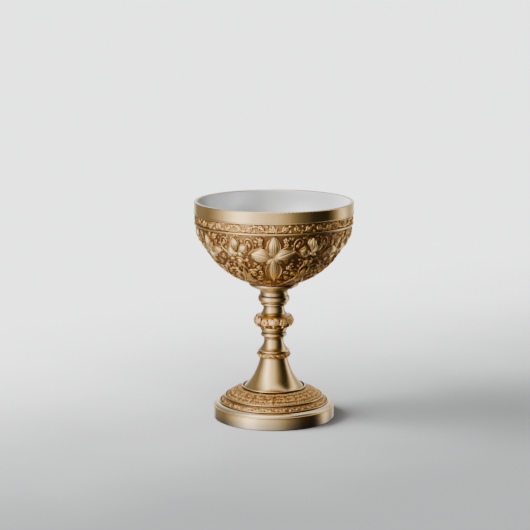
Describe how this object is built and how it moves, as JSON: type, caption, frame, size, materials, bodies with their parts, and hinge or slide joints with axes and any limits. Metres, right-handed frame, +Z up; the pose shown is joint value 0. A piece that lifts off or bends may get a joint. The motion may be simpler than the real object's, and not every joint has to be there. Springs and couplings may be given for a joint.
{
  "type": "communion chalice",
  "caption": "Footed communion cup: silver-lined hemispherical bowl with floral relief and polished lip, knopped stem on a tie rod, flared stem and domed round foot.",
  "frame": {"origin": "centre of the face that the foot stands on", "axes": "+Z up along the stem's axis to the lip; one large blossom faces -Y"},
  "size_m": [0.1326, 0.1326, 0.183],
  "materials": {
    "gilt_polished": "polished antique gilt",
    "gilt_chased": "chased gilt relief with dark patina in the hollows",
    "gilt_casting": "cast gilt blossoms and leaves, burnished on their high points",
    "cup_silver": "satin silver inside",
    "raw_brass": "plain brass, unpolished",
    "steel_hardware": "bright zinc-plated steel fastener"
  },
  "bodies": {
    "root": {"bowl_bead": "gilt_polished", "bowl_collar": "gilt_polished", "calyx_shell": "gilt_chased", "clamp_washer": "steel_hardware", "cup_boss": "raw_brass", "cup_liner": "cup_silver", "foot_base_ring": "raw_brass", "foot_dome": "gilt_chased", "foot_rim_band": "gilt_polished", "foot_rim_bead": "gilt_polished", "foot_shoulder": "gilt_polished", "foot_wire_inner": "gilt_polished", "foot_wire_middle": "gilt_polished", "foot_wire_outer": "gilt_polished", "frieze_band": "gilt_chased", "garland_ring": "gilt_chased", "knop_cup": "gilt_polished", "knop_flower_1": "gilt_casting", "knop_flower_2": "gilt_casting", "knop_flower_3": "gilt_casting", "knop_flower_4": "gilt_casting", "knop_flower_5": "gilt_casting", "knop_flower_6": "gilt_casting", "knop_leaf_1": "gilt_casting", "knop_leaf_2": "gilt_casting", "knop_leaf_3": "gilt_casting", "knop_leaf_4": "gilt_casting", "knop_leaf_5": "gilt_casting", "knop_leaf_6": "gilt_casting", "large_blossom_1": "gilt_casting", "large_blossom_2": "gilt_casting", "large_blossom_3": "gilt_casting", "leaf_knop_core": "gilt_chased", "lip_band": "gilt_polished", "lip_wire": "gilt_polished", "lock_washer": "steel_hardware", "lower_collar": "gilt_polished", "middle_blossom_1": "gilt_casting", "middle_blossom_2": "gilt_casting", "middle_blossom_3": "gilt_casting", "small_blossom_1": "gilt_casting", "small_blossom_2": "gilt_casting", "small_blossom_3": "gilt_casting", "small_blossom_4": "gilt_casting", "small_blossom_5": "gilt_casting", "small_blossom_6": "gilt_casting", "stem_ring": "gilt_polished", "stem_spool": "gilt_polished", "tie_rod": "steel_hardware", "tie_rod_nut": "steel_hardware", "trumpet_stem": "gilt_polished", "upper_knop": "gilt_polished", "upper_neck": "gilt_polished"}
  },
  "joints": []
}
